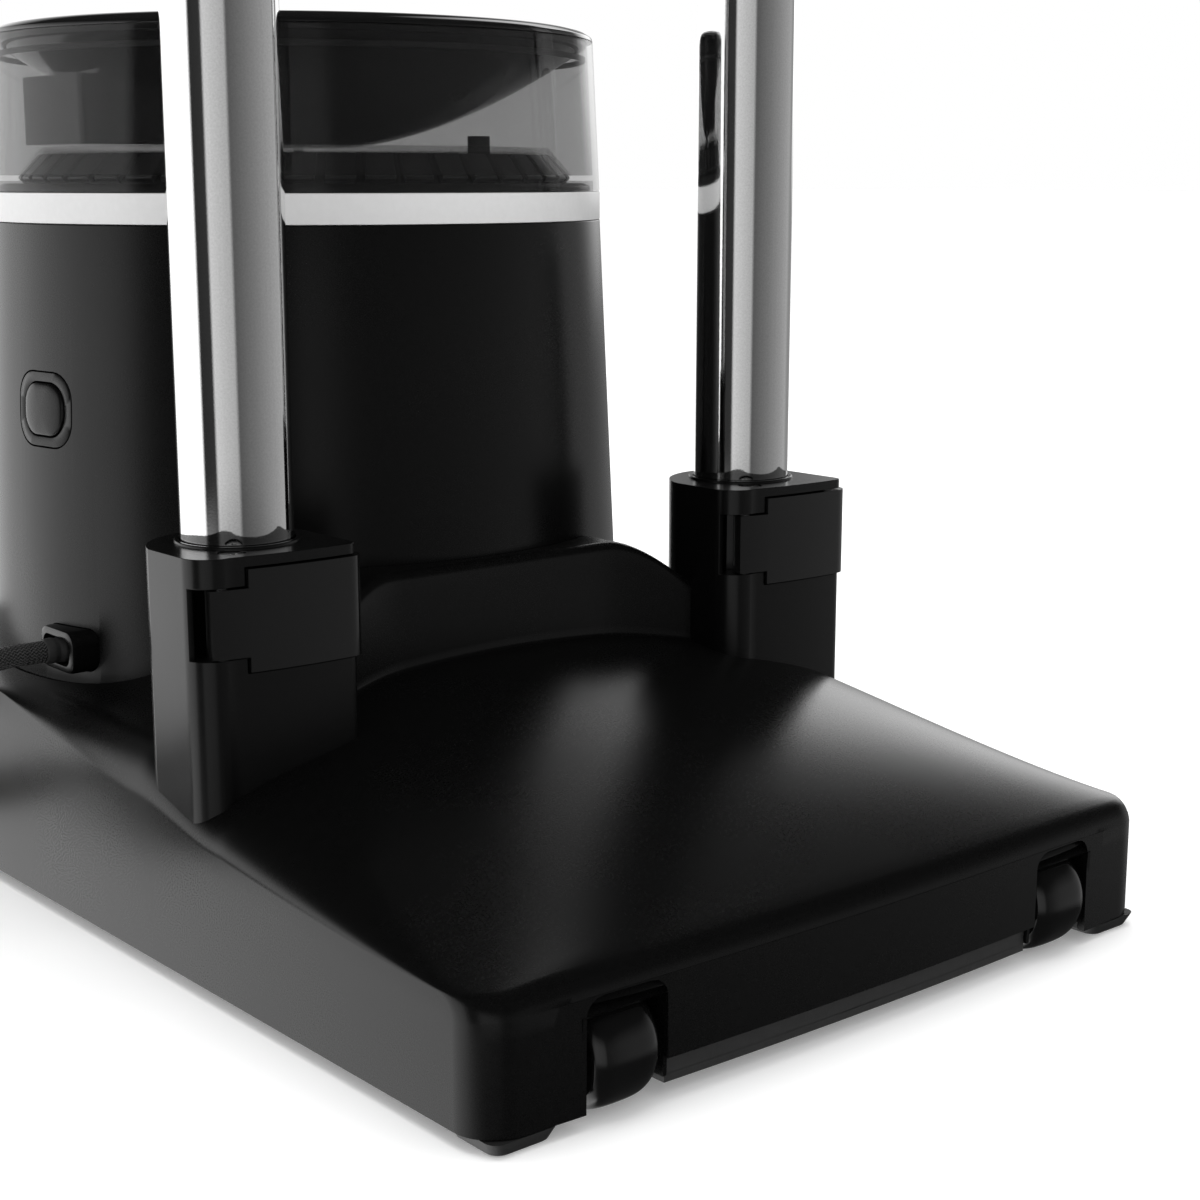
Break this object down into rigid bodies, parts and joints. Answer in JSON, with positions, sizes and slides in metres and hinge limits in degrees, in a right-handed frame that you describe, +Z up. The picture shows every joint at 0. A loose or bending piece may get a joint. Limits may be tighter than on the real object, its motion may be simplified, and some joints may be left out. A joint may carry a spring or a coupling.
{
  "type": "upright garment steamer",
  "caption": "Upright garment steamer: wheeled base with a round boiler housing and clear water tank, twin telescopic poles clamped in levered sockets, and a hanging hook.",
  "frame": {"origin": "floor level at the middle of the base's own box, measured without the power cord", "axes": "+X runs from the left pole to the right pole, +Y points from the wheels to the boiler end, +Z is up"},
  "size_m": [0.4739, 0.46, 0.831],
  "materials": {
    "black_shell": "fine satin moulded plastic",
    "dark_pan": "matt moulded plastic",
    "black_gloss": "polished black plastic",
    "white_band": "satin white plastic",
    "smoked_clear": "clear smoked polycarbonate",
    "smoked_dark": "deep smoked plastic",
    "pole_metal": "polished and lightly brushed tube",
    "steel": "bright zinc-plated steel",
    "rubber": "soft black rubber",
    "boiler_metal": "die cast",
    "tube_silicone": "milky silicone tube",
    "board": "green solder mask",
    "cord_textile": "braided black textile sleeve",
    "brass": "nickel-free brass"
  },
  "bodies": {
    "base": {"base_shell": "black_shell", "bottom_pan": "dark_pan", "rubber_feet": "rubber", "pan_screws": "steel", "axle_left": "steel", "axle_right": "steel", "pole_socket_left": "black_shell", "pole_socket_right": "black_shell", "socket_screws": "steel", "lever_pin_left": "steel", "lever_pin_right": "steel", "boiler_housing": "black_shell", "light_band": "white_band", "tank_seat": "black_shell", "valve_receiver": "dark_pan", "button_bezel": "black_shell", "power_switch": "dark_pan", "control_board": "board", "boiler": "boiler_metal", "boiler_stand": "steel", "thermostat": "steel", "water_pump": "dark_pan", "feed_tube": "tube_silicone", "boiler_tube": "tube_silicone", "steam_tube": "tube_silicone", "hose_port": "black_shell", "cord_gland": "black_gloss", "strain_relief": "rubber", "power_cord": "cord_textile", "cord_coil": "cord_textile", "cord_tie": "dark_pan", "plug_body": "black_shell", "plug_pins": "brass"},
    "left_wheel": {"wheel_left": "black_gloss"},
    "right_wheel": {"wheel_right": "black_gloss"},
    "left_lever": {"lever_left": "black_gloss"},
    "right_lever": {"lever_right": "black_gloss"},
    "left_pad": {"clamp_pad_left": "dark_pan"},
    "right_pad": {"clamp_pad_right": "dark_pan"},
    "button": {"power_button": "black_shell"},
    "tank": {"tank_shell": "smoked_clear", "tank_lid": "smoked_dark", "lid_gasket": "rubber", "filter_chamber": "smoked_dark", "tank_valve": "dark_pan", "valve_spring": "steel"},
    "plunger": {"valve_plunger": "steel"},
    "cap": {"filler_cap": "smoked_dark"},
    "poles": {"outer_pole_left": "pole_metal", "outer_pole_right": "pole_metal", "pole_collar_left": "black_shell", "pole_collar_right": "black_shell", "collar_pins": "steel"},
    "left_collar_lever": {"collar_lever_left": "black_shell"},
    "right_collar_lever": {"collar_lever_right": "black_shell"},
    "mast": {"inner_pole_left": "pole_metal", "inner_pole_right": "pole_metal", "cross_head": "black_shell", "head_rest": "black_shell"},
    "hook": {"hanger_hook": "pole_metal"}
  },
  "joints": [
    {"name": "wheel_left_roll", "type": "hinge", "parent": "base", "child": "left_wheel", "pos_m": [-0.097, -0.212, 0.0182], "axis": [1, 0, 0], "continuous": true},
    {"name": "lever_left_open", "type": "hinge", "parent": "base", "child": "left_lever", "pos_m": [-0.1336, -0.0745, 0.1235], "axis": [0, 0, -1], "range_deg": [0, 80]},
    {"name": "pad_left_release", "type": "slide", "parent": "base", "child": "left_pad", "axis": [-0.6481, -0.7615, 0], "range_m": [0, 0.0004]},
    {"name": "wheel_right_roll", "type": "hinge", "parent": "base", "child": "right_wheel", "pos_m": [0.097, -0.212, 0.0182], "axis": [1, 0, 0], "continuous": true},
    {"name": "lever_right_open", "type": "hinge", "parent": "base", "child": "right_lever", "pos_m": [0.0936, -0.0745, 0.1235], "axis": [0, 0, -1], "range_deg": [0, 80]},
    {"name": "pad_right_release", "type": "slide", "parent": "base", "child": "right_pad", "axis": [-0.6481, -0.7615, 0], "range_m": [0, 0.0004]},
    {"name": "button_press", "type": "slide", "parent": "base", "child": "button", "axis": [0.9914, 0.1305, 0], "range_m": [0, 0.0025], "stiffness_N_per_m": 400, "springref_m": -0.001},
    {"name": "tank_lift", "type": "slide", "parent": "base", "child": "tank", "axis": [0, 0, 1], "range_m": [0, 0.12]},
    {"name": "valve_open", "type": "slide", "parent": "tank", "child": "plunger", "axis": [0, 0, 1], "range_m": [0, 0.002], "stiffness_N_per_m": 150, "springref_m": -0.001},
    {"name": "filler_cap_lift", "type": "slide", "parent": "tank", "child": "cap", "axis": [0, 0, 1], "range_m": [0, 0.05]},
    {"name": "poles_lift_out", "type": "slide", "parent": "base", "child": "poles", "axis": [0, 0, 1], "range_m": [0, 0.1]},
    {"name": "mast_extend", "type": "slide", "parent": "poles", "child": "mast", "axis": [0, 0, 1], "range_m": [0, 0.48]},
    {"name": "collar_left_open", "type": "hinge", "parent": "poles", "child": "left_collar_lever", "pos_m": [-0.1196, -0.0785, 0.696], "axis": [0, 0, -1], "range_deg": [0, 100]},
    {"name": "collar_right_open", "type": "hinge", "parent": "poles", "child": "right_collar_lever", "pos_m": [0.1076, -0.0785, 0.696], "axis": [0, 0, -1], "range_deg": [0, 100]},
    {"name": "hook_swivel", "type": "hinge", "parent": "mast", "child": "hook", "pos_m": [0, -0.051, 0.79], "axis": [0, 0, 1], "continuous": true}
  ],
  "couplings": [
    {"joint": "pad_left_release", "follows": "lever_left_open", "m_per_rad": 0.00028},
    {"joint": "pad_right_release", "follows": "lever_right_open", "m_per_rad": 0.00028}
  ]
}
